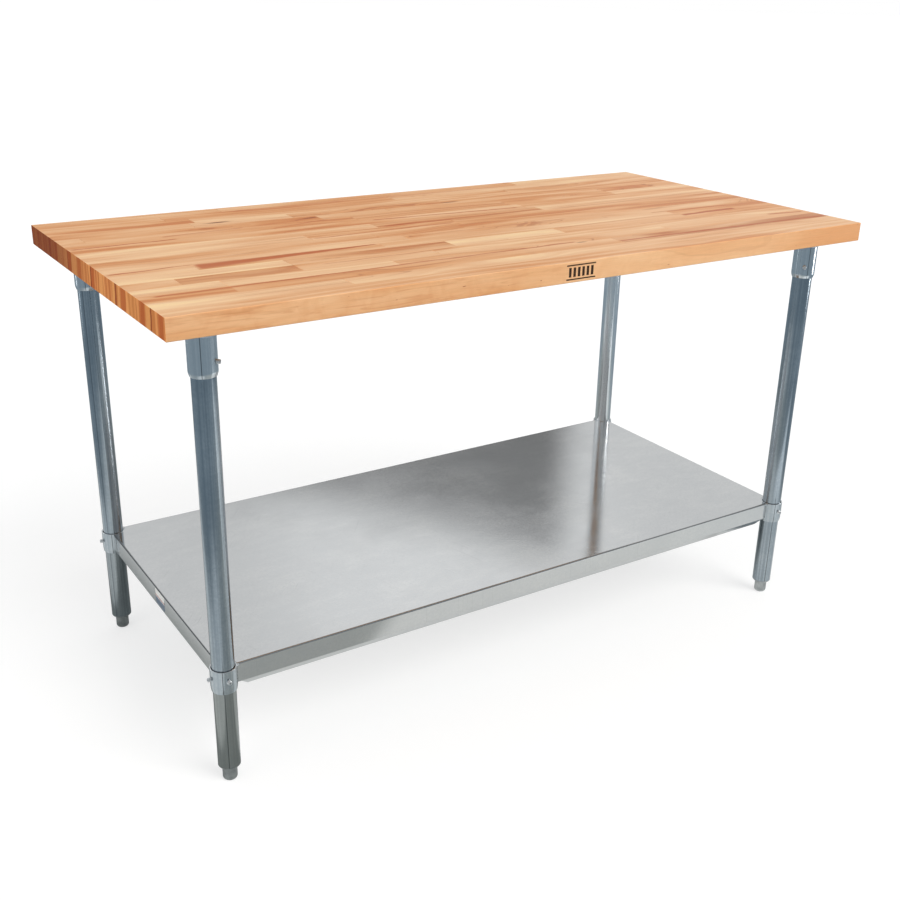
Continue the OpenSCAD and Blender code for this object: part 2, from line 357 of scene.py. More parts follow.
# Knots in the top: place along it in metres and across it in staves, then half length and
# half width in millimetres
KNOTS = (
    (0.330, 14.6, 34, 7),
    (0.870, 14.1, 28, 5),
    (0.870, 2.98, 16, 3),
    (0.515, 13.6, 20, 4),
)
# The one red-brown block, whose colour runs out to a tip
HEARTWOOD = (0.15, 0.52, 6.5, 6.9, 25.0, 3.0, 0.78)
# Dark streaks in the top: start and end along it in metres, its place in staves at both, its
# half width at both in millimetres, strength
STREAKS = (
    (0.02, 0.865, 2.78, 3.12, 4.5, 4.5, 0.62),
    (0.94, 1.52, 2.36, 2.24, 5.0, 5.0, 0.75),
    (1.41, 1.515, 3.82, 3.55, 6.0, 6.0, 0.7),
    (0.00, 0.16, 6.75, 6.97, 4.0, 2.5, 0.75),
    (0.00, 0.21, 11.82, 11.96, 5.0, 3.5, 0.75),
    (0.43, 0.755, 9.25, 9.4, 2.6, 2.6, 0.75),
    (0.605, 0.775, 10.16, 10.2, 5.0, 5.0, 0.72),
    (0.615, 0.975, 11.75, 11.25, 5.0, 5.0, 0.72),
    (0.40, 1.14, 16.95, 16.93, 4.0, 4.0, 0.5),
    (0.60, 0.99, 7.62, 7.7, 4.0, 4.0, 0.35),
    (0.90, 1.25, 6.05, 6.0, 3.0, 3.0, 0.4),
    (1.235, 1.405, 5.75, 5.88, 8.0, 8.0, 0.8),
    (0.35, 0.63, 4.55, 4.75, 2.4, 2.4, 0.55),
    (1.19, 1.42, 6.9, 6.8, 4.0, 4.0, 0.55),
    (1.09, 1.30, 4.98, 4.85, 3.0, 3.0, 0.4),
    (0.18, 0.36, 12.6, 12.95, 6.0, 6.0, 0.4),
    (0.40, 0.545, 12.1, 12.95, 4.0, 4.0, 0.45),
    HEARTWOOD,
)
# The mark burnt into the front edge: its middle, half its size, half the pitch of its bars
MARK_X = 10 * MM
MARK_HALF_LENGTH = 33 * MM
MARK_HALF_HEIGHT = 14 * MM
MARK_BAR = 5 * MM


def knot_mask(t, x, y, knot):
    """1 in the middle of a knot, 0 outside it, with a ragged edge."""
    along, staves, half_l, half_w = knot
    across = t.math("DIVIDE", t.minus(y, cad_low.y + staves * STAVE_W), half_w * MM)
    along = t.math("DIVIDE", t.minus(x, cad_low.x + along), half_l * MM)
    return t.smooth(t.vector("LENGTH", t.combine(along, across, 0)), 1.1, 0.25)


def streak_mask(t, x, y, wobble, streak):
    """1 along a dark streak that follows the grain, fading out at its two ends."""
    start, end, staves_0, staves_1, half_w0, half_w1, strength = streak
    x0, x1 = cad_low.x + start, cad_low.x + end
    y0, y1 = (cad_low.y + staves * STAVE_W for staves in (staves_0, staves_1))
    ends = {"Value": x, "From Min": x0, "From Max": x1}
    line = t.node("ShaderNodeMapRange", "Result", {**ends, "To Min": y0, "To Max": y1})
    widths = {"To Min": half_w0 * MM, "To Max": half_w1 * MM}
    half_w = t.node("ShaderNodeMapRange", "Result", {**ends, **widths})
    off = t.math("ABSOLUTE", t.minus(t.plus(y, wobble), line))
    side = t.smooth(t.math("DIVIDE", off, half_w), 1.0, 0.45, 0, strength)
    fade = 12 * MM
    along = t.math("ABSOLUTE", t.minus(x, (x0 + x1) / 2))
    half = (x1 - x0) / 2
    return t.times(side, t.smooth(along, half, half - fade))


def mark_mask(t, x, z):
    """A plain burnt-in mark in the middle of the front: a row of upright bars in a frame."""
    height = t.math("ABSOLUTE", t.minus(z, (TOP_LOW.z + TOP_HIGH.z) / 2))
    x = t.minus(x, MARK_X)
    along = t.math("ABSOLUTE", x)
    bars = t.math("GREATER_THAN", t.math("PINGPONG", x, MARK_BAR), 0.42 * MARK_BAR)
    bars = t.times(bars, t.math("LESS_THAN", height, 0.62 * MARK_HALF_HEIGHT))
    bars = t.times(bars, t.math("LESS_THAN", along, 0.86 * MARK_HALF_LENGTH))
    outer = t.times(t.math("LESS_THAN", height, MARK_HALF_HEIGHT),
                    t.math("LESS_THAN", along, MARK_HALF_LENGTH))
    rail = t.times(t.math("GREATER_THAN", height, 0.82 * MARK_HALF_HEIGHT), outer)
    return t.math("MAXIMUM", bars, rail)


def grain_parts(t):
    """The figure that all the wood shares, from each block's own place in its log."""
    place = t.place()
    grain = t.vector("ADD", place, t.attribute("grain_offset"))
    gy, gz = t.split(grain)[1:]
    # Distance from the pith, bent slowly along the board, gives the growth rings
    warp = t.noise(t.scaled(grain, 1.5, 6, 6), 1, 2, 0.5)
    ripple = t.noise(t.scaled(grain, 7, 24, 24), 1, 2, 0.5)
    pith = t.vector("LENGTH", t.combine(0, gy, gz))
    bend = t.plus(t.times(warp, 0.095), t.times(ripple, 0.011))
    ring = t.plus(pith, bend)
    return {
        "place": place,
        "grain": grain,
        "bands": t.noise_line(ring, 48, 2),
        "rings": t.noise_line(ring, 330, 2),
        "lines": t.noise_line(ring, 90, 3),
        "broad": t.noise(t.scaled(grain, 2.6, 20, 20), 1, 2, 0.5),
        "fibre": t.noise(t.scaled(grain, 22, 1300, 1300), 1, 2, 0.6),
        "fleck": t.noise(t.scaled(grain, 90, 900, 900), 1, 1, 0.5),
    }


def shaded(t, colour, parts):
    """Fine fibres and flecks over a wood colour."""
    fine = t.plus(t.smooth(parts["fibre"], 0.25, 0.75, 0.95, 1.04),
                  t.smooth(parts["fleck"], 0.66, 0.74, 0, -0.09))
    return t.mix(1.0, colour, t.combine(fine, fine, fine), "MULTIPLY")


def maple():
    """Oiled hard maple. Each block carries its own offset in the grain and its own tone."""
    t = Paint("maple")
    parts = grain_parts(t)
    place, grain = parts["place"], parts["grain"]
    bands, rings, lines, broad = (parts[name] for name in ("bands", "rings", "lines", "broad"))
    x, y, z = t.split(place)
    tone, red, figure = t.split(t.attribute("block_tone"))
    normal_y, normal_z = t.split(t.place("Normal"))[1:]

    cream = srgb("f4d2a2")
    light = srgb("e9bd92")
    tan = srgb("d79762")
    orange = srgb("c47643")
    heart = srgb("97421b")
    share = t.plus(t.times(t.smooth(bands, 0.3, 0.7), 0.45),
                   t.times(t.smooth(broad, 0.34, 0.66), 0.5))
    fine_rings = t.times(t.minus(rings, 0.5), 0.25)
    share = t.minus(t.plus(share, fine_rings), tone)
    colour = t.mix(t.smooth(share, -0.1, 1.0), light, tan)
    colour = t.mix(t.smooth(share, 0.6, 1.25, 0, 0.85), colour, orange)
    colour = t.mix(t.smooth(share, 0.15, -0.35, 0, 0.9), colour, cream)
    heart_share = t.smooth(t.plus(t.times(bands, 0.5), red), 0.45, 1.05, 0, 0.9)
    colour = t.mix(heart_share, colour, heart)
    line_share = t.smooth(t.math("ABSOLUTE", t.minus(lines, 0.5)), 0.022, 0.0)
    line_share = t.times(line_share, t.smooth(broad, 0.45, 0.62, 0, 0.4))
    colour = t.mix(line_share, colour, heart)

    # Streaks and knots of the top's own boards show on the upper face only
    upper = t.smooth(normal_z, 0.5, 0.9)
    wobble = t.noise(t.scaled(place, 9, 30, 1), 1, 3, 0.6)
    wobble = t.times(t.minus(wobble, 0.5), 0.014)
    marks = 0.0
    for streak in STREAKS:
        marks = t.math("MAXIMUM", marks, streak_mask(t, x, y, wobble, streak))
    colour = t.mix(t.times(marks, upper), colour, srgb("b04a0a"))
    knots = 0.0
    for knot in KNOTS:
        knots = t.math("MAXIMUM", knots, knot_mask(t, x, t.plus(y, wobble), knot))
    knots = t.times(t.times(knots, upper), 0.85)
    colour = t.mix(knots, colour, srgb("6e3214"))

    # Front and back: a quiet curly figure and flames, paler past the middle and deeper at the
    # right end, with small pin marks and the burnt-in mark
    side = t.smooth(t.math("ABSOLUTE", normal_y), 0.5, 0.9)
    curl = t.noise(t.scaled(grain, 34, 5, 30), 1, 3, 0.55, 0.8)
    curl_share = t.times(t.smooth(curl, 0.4, 0.7, 0, 0.25), side)
    colour = t.mix(t.times(curl_share, figure), colour, orange)
    colour = t.mix(t.times(side, 0.35), colour, srgb("dfa06a"))
    flame = t.noise(t.scaled(grain, 7, 3, 95), 1, 3, 0.6, 1.2)
    flame_share = t.times(t.smooth(flame, 0.54, 0.7, 0, 0.34), side)
    colour = t.mix(flame_share, colour, srgb("bf7440"))
    pale = t.times(t.smooth(x, -0.35, 0.2, 0, 0.45), side)
    colour = t.mix(pale, colour, srgb("f3c494"))
    right_end = t.times(t.smooth(x, 0.4, 0.7, 0, 0.6), side)
    colour = t.mix(right_end, colour, srgb("d58a4c"))
    pins = t.smooth(t.noise(t.scaled(grain, 60, 1, 300), 1, 1, 0.4), 0.76, 0.8)
    colour = t.mix(t.times(pins, side), colour, heart)
    facing = t.smooth(normal_y, -0.5, -0.9, 0, 0.97)
    colour = t.mix(t.times(mark_mask(t, x, z), facing), colour, srgb("24150d"))

    height = t.plus(t.times(parts["fibre"], 0.6), t.times(rings, 0.4))
    return t.finish(
        Base_Color=shaded(t, colour, parts),
        Roughness=t.smooth(parts["fibre"], 0.2, 0.8, 0.4, 0.5),
        Specular_IOR_Level=0.18,
        Coat_Weight=0.03,
        Coat_Roughness=0.2,
        Normal=t.bump(height, 0.06 * MM, 0.5),
    )


def maple_end():
    """End grain: it soaks up more oil, so it is darker and redder, with the rings standing out."""
    t = Paint("maple_end_grain")
    parts = grain_parts(t)
    tone, red = t.split(t.attribute("block_tone"))[:2]
    gy, gz = t.split(parts["grain"])[1:]
    # Each stave was sawn so that its rings stand nearly upright
    slant = t.plus(gy, t.times(gz, 0.12))
    slant = t.plus(slant, t.times(parts["broad"], 0.01))
    stripes = t.noise_line(slant, 34, 3)
    colour = t.mix(t.smooth(stripes, 0.42, 0.58), srgb("faa963"), srgb("cb6a34"))
    colour = t.mix(t.smooth(red, 0.1, 0.6, 0, 0.85), colour, srgb("7a2e10"))
    colour = t.mix(t.smooth(tone, 0.05, 0.5, 0, 0.4), colour, srgb("eda25a"))
    colour = t.mix(t.smooth(tone, -0.1, -0.4, 0, 0.6), colour, srgb("9a4517"))
    veins = t.smooth(t.noise_line(slant, 26, 1), 0.66, 0.68, 0, 0.8)
    colour = t.mix(veins, colour, srgb("94391a"))
    # Painted shade: the end grain of the staves at the back is darker
    across = t.split(parts["place"])[1]
    colour = t.mix(t.smooth(across, -0.05, 0.27, 0, 0.85), colour, srgb("84391c"))
    pores = t.noise(parts["grain"], 1400, 2, 0.6)
    colour = t.mix(t.smooth(pores, 0.55, 0.75, 0, 0.25), colour, srgb("6a3a20"))
    return t.finish(
        Base_Color=colour,
        Roughness=t.smooth(pores, 0.3, 0.7, 0.6, 0.75),
        Specular_IOR_Level=0.12,
        Normal=t.bump(pores, 0.08 * MM, 0.5),
    )


def steel_parts(t, place, spangle, streak_scales):
    """Shades that the zinc-coated surfaces share: crystals, streaks and blotches, 0 to 1."""
    crystals = t.split(t.cells(place, spangle))[0]
    streaks = t.noise(t.scaled(place, *streak_scales), 1, 3, 0.6)
    blotches = t.noise(place, 7, 3, 0.55)
    return crystals, streaks, blotches


def grey(t, low, high, share):
    return t.mix(share, srgb(low), srgb(high))


# Where most painted dark reflection lines face, in degrees; they are drawn like tube seams
DARK_LINE_ANGLE = -116


def galvanized_tube(name, low, high, dark_line_top, dark_line_angle=DARK_LINE_ANGLE, low_shade=0.0):
    """Drawn, zinc-coated tube between two shades: lengthwise streaks, rims painted bright as a
    highlight and a dark line drawn like a seam, a painted reflection that shows best below
    dark_line_top and faces dark_line_angle, in degrees. Low down, below the shelf, painted shade
    makes the tube warmer and darker, by the share low_shade."""
    t = Paint(name)
    place = t.place()
    around = t.attribute("around")
    cosine, sine, height = t.split(around)
    crystals, streaks, blotches = steel_parts(t, place, 260, (700, 700, 2.5))
    draw = t.noise(t.scaled(around, 5, 5, 0.8), 1, 3, 0.6)
    share = t.plus(t.times(streaks, 0.25), t.times(blotches, 0.4))
    share = t.plus(share, t.times(t.smooth(draw, 0.3, 0.7), 0.18))
    share = t.plus(share, t.times(crystals, 0.06))
    colour = grey(t, low, high, t.smooth(share, 0.3, 0.75))
    # Painted shade: below the shelf the tube turns warmer and darker
    low_shade_share = t.smooth(height, SHELF_TOP + 10 * MM, SHELF_TOP - 40 * MM, 0, low_shade)
    colour = t.mix(low_shade_share, colour, srgb("9c9b92"))
    # Painted reflection: a thin dark line down one side of the tube, drawn like a seam
    dark_line_angle = math.radians(dark_line_angle)
    dark_line_direction = (math.cos(dark_line_angle), math.sin(dark_line_angle), 0)
    toward = t.vector("DOT_PRODUCT", t.combine(cosine, sine, 0), dark_line_direction)
    dark_reflection_line = t.times(t.smooth(toward, 0.9982, 0.9996), t.smooth(draw, 0.4, 0.6, 0.5, 0.9))
    dark_reflection_line = t.times(dark_reflection_line, t.smooth(height, dark_line_top, dark_line_top + 30 * MM, 1, 0.15))
    colour = t.mix(dark_reflection_line, colour, srgb("2d3337"))
    # Painted highlight: faces that look up or down, such as the rims, are painted near white
    rim = t.smooth(t.math("ABSOLUTE", t.split(t.place("Normal"))[2]), 0.25, 0.7, 0, 0.8)
    colour = t.mix(rim, colour, srgb("f0f2f3"))
    rough = t.smooth(streaks, 0.3, 0.7, 0.13, 0.19)
    rough = t.plus(rough, t.smooth(blotches, 0.4, 0.7, 0, 0.06))
    bumps = t.plus(t.times(streaks, 0.5), t.times(crystals, 0.2))
    return t.finish(
        Base_Color=colour,
        Metallic=1.0,
        Roughness=rough,
        Normal=t.bump(bumps, 0.02 * MM, 0.3),
    )


def galvanized_sheet():
    """Folded hot-dip sheet of the channels and the stiffener, with a visible spangle."""
    t = Paint("galvanized_sheet")
    place = t.place()
    crystals, streaks, blotches = steel_parts(t, place, 110, (8, 300, 300))
    fine = t.split(t.cells(place, 420))[1]
    share = t.plus(t.times(crystals, 0.5), t.times(fine, 0.15))
    share = t.plus(share, t.times(blotches, 0.4))
    colour = grey(t, "9fa5aa", "c3c8cb", t.smooth(share, 0.25, 0.85))
    rough = t.plus(t.smooth(crystals, 0, 1, 0.26, 0.42), t.times(streaks, 0.08))
    return t.finish(
        Base_Color=colour,
        Metallic=1.0,
        Roughness=rough,
        Normal=t.bump(t.plus(crystals, blotches), 0.05 * MM, 0.4),
    )


def shelf_sheet():
    """Bright galvanized shelf: a fine spangle, rolling streaks, smudges and light scratches."""
    t = Paint("shelf_sheet")
    place = t.place()
    crystals, streaks, blotches = steel_parts(t, place, 330, (5, 420, 420))
    smudges = t.noise(place, 3.2, 4, 0.6, 0.4)
    patches = t.noise(t.scaled(place, 14, 40, 14), 1, 3, 0.6)
    share = t.plus(t.times(crystals, 0.14), t.times(blotches, 0.4))
    share = t.plus(share, t.times(patches, 0.3))
    colour = grey(t, "d6d6d6", "e4e3e1", t.smooth(share, 0.3, 0.75))
    scratches = 0.0
    for turn, scale in ((0.5, 5), (-0.9, 7), (1.3, 4)):
        turned = t.node("ShaderNodeVectorRotate", "Vector", {"Vector": place, "Angle": turn},
                        rotation_type="Z_AXIS")
        cut = t.noise(t.scaled(turned, scale, 1500, 1), 1, 1, 0.3)
        rare = t.noise(t.scaled(turned, scale, scale, 1), 2, 1, 0.3)
        cut = t.times(t.smooth(cut, 0.72, 0.76), t.smooth(rare, 0.56, 0.62))
        scratches = t.math("MAXIMUM", scratches, cut)
    colour = t.mix(t.times(scratches, 0.35), colour, srgb("9a9c9d"))
    # Painted dark reflection: the bends round the edges are darker, and half as dark along the front
    # and the back
    front, level = t.split(t.place("Normal"))[1:]
    bend = t.times(t.smooth(level, 0.1, 0.25), t.smooth(level, 0.97, 0.85, 0, 0.85))
    bend = t.times(bend, t.smooth(t.math("ABSOLUTE", front), 0.2, 0.7, 1.0, 0.5))
    colour = t.mix(bend, colour, srgb("4c5053"))
    rough = t.smooth(smudges, 0.35, 0.65, 0.07, 0.12)
    rough = t.plus(rough, t.times(crystals, 0.02))
    waves = t.noise(place, 2.6, 1, 0.4)
    normal = t.bump(waves, 0.7 * MM, 0.25)
    normal = t.bump(t.plus(crystals, streaks), 0.01 * MM, 0.3, normal)
    return t.finish(Base_Color=colour, Metallic=1.0, Roughness=rough, Normal=normal)


def zinc_cast():
    """Die-cast zinc of the feet and inserts: matt, finely pitted, rubbed brighter low down."""
    t = Paint("zinc_cast")
    place = t.place()
    height = t.split(place)[2]
    grains = t.noise(place, 900, 3, 0.6)
    blotches = t.noise(place, 60, 3, 0.6)
    colour = grey(t, "a5a8a9", "c6c8c8", t.smooth(blotches, 0.3, 0.7))
    rubbed = t.smooth(height, 9 * MM, 1 * MM, 0, 0.35)
    colour = t.mix(rubbed, colour, srgb("eceded"))
    return t.finish(
        Base_Color=colour,
        Metallic=1.0,
        Roughness=t.smooth(grains, 0.3, 0.7, 0.36, 0.52),
        Normal=t.bump(grains, 0.08 * MM, 0.6),
    )


def screw_steel():
    """Plated screw steel."""
    t = Paint("screw_steel")
    place = t.place()
    grains = t.noise(place, 500, 3, 0.6)
    colour = grey(t, "d6d9db", "f4f5f6", t.smooth(t.noise(place, 90, 3, 0.6), 0.3, 0.7))
    return t.finish(
        Base_Color=colour,
        Metallic=1.0,
        Roughness=t.smooth(grains, 0.3, 0.7, 0.22, 0.38),
        Normal=t.bump(grains, 0.03 * MM, 0.5),
    )


def label_paper():
    """Plain two-tone sticker: white over slate, with one thin rule and no lettering."""
    t = Paint("label_paper")
    place = t.place()
    height = t.split(place)[2]
    low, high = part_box("shelf_label")
    level = t.math("DIVIDE", t.minus(height, low.z), high.z - low.z)
    fibre = t.noise(place, 700, 3, 0.6)
    colour = t.mix(t.smooth(level, 0.47, 0.48), srgb("5d6c80"), srgb("eeece8"))
    rule = t.times(t.math("GREATER_THAN", level, 0.53), t.math("LESS_THAN", level, 0.6))
    colour = t.mix(rule, colour, srgb("a8493f"))
    colour = t.mix(t.smooth(fibre, 0.3, 0.8, 0, 0.12), colour, srgb("8d8a85"))
    return t.finish(
        Base_Color=colour,
        Roughness=t.smooth(fibre, 0.3, 0.7, 0.32, 0.45),
        Normal=t.bump(fibre, 0.02 * MM, 0.5),
    )


# ---- Mesh shorthand ----

# Edges that turn by more than this are shaded as sharp
SHARP_ANGLE = math.radians(42)


def centre_of(node):
    low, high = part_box(node)
    return (low + high) / 2


def body_of(node):
    return frame["nodes"][node]["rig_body"]


def add_piece(name, bm, material, nodes):
    """Makes a piece from bm that stands for the CAD nodes and rides on their body."""
    bmesh.ops.recalc_face_normals(bm, faces=bm.faces)
    mesh = bpy.data.meshes.new(name)
    bm.to_mesh(mesh)
    bm.free()
    mesh.materials.append(material)
    mesh.shade_smooth()
    mesh.set_sharp_from_angle(angle=SHARP_ANGLE)
    piece = add_object(name, mesh)
    weighted = piece.modifiers.new("weighted_normals", "WEIGHTED_NORMAL")
    weighted.keep_sharp = True
    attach(piece, body_of(nodes[0]))
    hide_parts(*nodes)
    return piece


def softened(points, radius, closed, steps=4):
    """Rounds an outline's corners; radius is one number or one for each point."""
    radii = radius if isinstance(radius, (list, tuple)) else [radius] * len(points)
    outline = []
    count = len(points)
    for i, point in enumerate(points):
        at_end = not closed and i in (0, count - 1)
        here = Vector(point)
        before = Vector(points[i - 1]) - here
        after = Vector(points[(i + 1) % count]) - here
        cut = min(radii[i], before.length * 0.45, after.length * 0.45)
        if at_end or cut < 1e-6:
            outline.append(here)
            continue
        start = here + before.normalized() * cut
        finish = here + after.normalized() * cut
        for k in range(steps + 1):
            s = k / steps
            outline.append((1 - s) ** 2 * start + 2 * s * (1 - s) * here + s ** 2 * finish)
    return outline


def turned(bm, outline, x, y, closed, steps=72):
    """Turns an outline of (radius, height) about a vertical line, and notes the angle."""
    around = bm.verts.layers.float_vector.new("around")
    rings = []
    for radius, height in outline:
        if radius < 1e-7:
            vert = bm.verts.new((x, y, height))
            vert[around] = (0, 0, height)
            rings.append([vert])
            continue
        ring = []
        for k in range(steps):
            angle = 2 * math.pi * k / steps
            cosine, sine = math.cos(angle), math.sin(angle)
            vert = bm.verts.new((x + radius * cosine, y + radius * sine, height))
            vert[around] = (cosine, sine, height)
            ring.append(vert)
        rings.append(ring)
    join_rings(bm, rings, closed)


def join_rings(bm, rings, closed=False):
    """Skins the rings in order; a ring of one vertex is a tip."""
    pairs = list(zip(rings, rings[1:]))
    if closed:
        pairs.append((rings[-1], rings[0]))
    for first, second in pairs:
        steps = max(len(first), len(second))
        for k in range(steps):
            j = (k + 1) % steps
            corners = [first[k % len(first)], first[j % len(first)]]
            corners += [second[j % len(second)], second[k % len(second)]]
            unique = list(dict.fromkeys(corners))
            if len(unique) > 2:
                bm.faces.new(unique)


def weld_bead(bm, x, y, height, radius, bead, start=0.0, sweep=2 * math.pi):
    """A rippled weld bead along a level arc of a turned piece, closed if it goes all round."""
    around = bm.verts.layers.float_vector["around"]
    whole = sweep > 2 * math.pi - 1e-6
    step, ripple, sides = 1.1 * MM, 0.22, 8
    steps = max(12, int(sweep * radius / step))
    rings = []
    for k in range(steps if whole else steps + 1):
        angle = start + sweep * k / steps
        size = bead * (1 + ripple * math.cos(math.pi * k))
        if not whole:
            size *= max(0.15, math.sqrt(math.sin(math.pi * k / steps)))
        ring = []
        for s in range(sides):
            turn = 2 * math.pi * s / sides
            r = radius + size * math.cos(turn)
            spot = (x + r * math.cos(angle), y + r * math.sin(angle), height + size * math.sin(turn))
            vert = bm.verts.new(spot)
            vert[around] = (math.cos(angle), math.sin(angle), height)
            ring.append(vert)
        rings.append(ring)
    join_rings(bm, rings, whole)
    if not whole:
        bm.faces.new(rings[0])
        bm.faces.new(rings[-1])


# ---- Worktop ----

# Lightness and redness of each stave's blocks, from the left; None is left to chance
BLOCK_TONES = {
    1: [(0.1, 0)],
    2: [(0.5, 0), (0.22, 0)],
    3: [(-0.1, 0.16), (0, 0.12), (-0.1, 0.38)],
    4: [(0.4, 0), (0.2, 0.05), (0.3, 0), (0, 0.15)],
    5: [(0.2, 0), (-0.3, 0.35), (-0.05, 0.1), (0.15, 0)],
    6: [(0.55, 0), (-0.1, 0.35), (0.45, 0), (-0.1, 0.2)],
    7: [(0.1, 0.1), (-0.05, 0.15), (0.2, 0)],
    8: [(0.25, 0), (0.12, 0)],
    9: [(0.05, 0)],
    10: [(0.25, 0)],
    11: [None, (-0.05, 0.3)],
    12: [(-0.12, 0), (0.15, 0)],
    13: [(-0.15, 0.05), (0, 0.25)],
    14: [(-0.1, 0), (-0.12, 0.05), (0.3, 0)],
    15: [(-0.15, 0.03), (0.35, 0)],
    16: [(-0.15, 0.05), None, (0.15, 0)],
    17: [(-0.1, 0)],
}
# How strongly the curly figure shows in the front stave and in the others
FRONT_FIGURE = 1.0
USUAL_FIGURE = 0.4
GLUE_EASE = 0.12 * MM
EDGE_EASE = 2.0 * MM
END_EASE = 1.0 * MM


def solid_boxes(node):
    """The boxes of a node's separate solids, from left to right."""
    bm = bmesh.new()
    bm.from_mesh(frame["nodes"][node].data)
    bmesh.ops.remove_doubles(bm, verts=bm.verts, dist=0.01 * MM)
    left = set(bm.verts)
    boxes = []
    while left:
        island = [left.pop()]
        for vert in island:
            for edge in vert.link_edges:
                other = edge.other_vert(vert)
                if other in left:
                    left.remove(other)
                    island.append(other)
        low = Vector(min(v.co[i] for v in island) for i in range(3))
        high = Vector(max(v.co[i] for v in island) for i in range(3))
        boxes.append((low, high))
    bm.free()
    return sorted(boxes, key=lambda box: box[0].x)


def block_section(low, high, inset, radii):
    """Rounded rectangle in Y and Z, drawn in by inset on its front, back, bottom and top."""
    front, back, bottom, top = inset
    y0, y1 = low.y + front, high.y - back
    z0, z1 = low.z + bottom, high.z - top
    return softened([(y0, z0), (y1, z0), (y1, z1), (y0, z1)], radii, True)


def add_block(bm, low, high, is_front, is_back, tone, offset):
    """One block of a stave: glued edges stay crisp and the top's outer edges are eased."""
    tone_layer = bm.verts.layers.float_vector["block_tone"]
    offset_layer = bm.verts.layers.float_vector["grain_offset"]
    front = EDGE_EASE if is_front else GLUE_EASE
    back = EDGE_EASE if is_back else GLUE_EASE
    radii = [front, back, back, front]
    rings = []
    ends = ((low.x, 1, low.x < cad_low.x + MM), (high.x, -1, high.x > cad_high.x - MM))
    for x, inward, is_end in ends:
        ease = END_EASE if is_end else GLUE_EASE
        steps = 4 if is_end else 1
        stack = []
        for k in range(steps + 1):
            angle = math.pi / 2 * k / steps
            out = ease * (1 - math.sin(angle))
            inset = (out if is_front else 0, out if is_back else 0, out, out)
            section = block_section(low, high, inset, radii)
            depth = x + inward * ease * (1 - math.cos(angle))
            ring = []
            for y, z in section:
                vert = bm.verts.new((depth, y, z))
                vert[tone_layer] = tone
                vert[offset_layer] = offset
                ring.append(vert)
            stack.append(ring)
        rings += stack if inward > 0 else stack[::-1]
    join_rings(bm, rings)
    bm.faces.new(rings[0])
    bm.faces.new(rings[-1])


def make_staves(material, end_material):
    """One piece for each stave. Every block is cut from a place of its own near the pith."""
    draw = random.Random(7)
    for number, node in enumerate(STAVES, 1):
        bm = bmesh.new()
        bm.verts.layers.float_vector.new("block_tone")
        bm.verts.layers.float_vector.new("grain_offset")
        figure = FRONT_FIGURE if number == 1 else USUAL_FIGURE
        tones = BLOCK_TONES.get(number, [])
        for k, (low, high) in enumerate(solid_boxes(node)):
            by_chance = (draw.uniform(-0.2, 0.3), max(0.0, draw.gauss(0.02, 0.12)))
            chosen = tones[k] if k < len(tones) else None
            tone = (*(chosen or by_chance), figure)
            turn = draw.uniform(-math.pi, math.pi)
            pith = draw.uniform(0.05, 0.16)
            middle = (low + high) / 2
            offset = (
                draw.uniform(-50, 50),
                pith * math.cos(turn) - middle.y,
                pith * math.sin(turn) - middle.z,
            )
            add_block(bm, low, high, number == 1, number == len(STAVES), tone, offset)
        for face in bm.faces:
            face.normal_update()
            face.material_index = int(abs(face.normal.x) > 0.7)
        piece = add_piece(f"maple_stave_{number:02d}", bm, material, [node])
        piece.data.materials.append(end_material)


# ---- Base ----

ROUND = 0.5 * MM


def radius_of(node):
    low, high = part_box(node)
    return (high.x - low.x) / 2


LEG_R = radius_of("leg_front_left")
LEG_WALL = 1.5 * MM
# Each leg's zinc and painted light: its two shades, the back right leg's painted brighter partly for
# the light on it; the height up to which its painted dark reflection line shows, where that faces;
# and the share of painted shade, warmer and darker, on the leg below the shelf
LEG_ZINC_AND_LIGHT = {
    "front_left": ("99a3ab", "cad1d6", SHELF_TOP, -112, 0.6),
    "front_right": ("99a3ab", "cad1d6", SHELF_TOP, DARK_LINE_ANGLE, 0.0),
    "back_left": ("9aa4ac", "cbd2d7", TOP_LOW.z, -138, 0.25),
    "back_right": ("e3e7ea", "f6f8f9", SHELF_TOP, DARK_LINE_ANGLE, 0.0),
}


def make_legs():
    inner = LEG_R - LEG_WALL
    for corner in CORNERS:
        material = galvanized_tube(f"galvanized_leg_{corner}", *LEG_ZINC_AND_LIGHT[corner])
        node = f"leg_{corner}"
        low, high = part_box(node)
        middle = centre_of(node)
        outline = [(inner, low.z), (LEG_R, low.z), (LEG_R, high.z), (inner, high.z)]
        bm = bmesh.new()
        turned(bm, softened(outline, ROUND, True), middle.x, middle.y, True)
        add_piece(f"leg_tube_{corner}", bm, material, [node])


def make_sockets(material):
    """Sleeves chamfered at the mouth, with a weld bead under the channel."""
    chamfer_h, chamfer_in, play = 7 * MM, 2 * MM, 0.2 * MM
    radii = [ROUND, 1.2 * MM, 2 * MM, 0, 0]
    bead, bead_drop, bead_out = 1.7 * MM, 0.6 * MM, 0.2 * MM
    for corner in CORNERS:
        node = f"leg_socket_{corner}"
        low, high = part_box(node)
        x, y = centre_of(f"leg_{corner}").xy
        outer = (high.y - low.y) / 2
        inner = LEG_R + play
        outline = [
            (inner, low.z),
            (outer - chamfer_in, low.z),
            (outer, low.z + chamfer_h),
            (outer, high.z),
            (inner, high.z),
        ]
        bm = bmesh.new()
        turned(bm, softened(outline, radii, True), x, y, True)
        weld_bead(bm, x, y, high.z - bead_drop, outer + bead_out, bead)
        add_piece(f"socket_sleeve_{corner}", bm, material, [node])


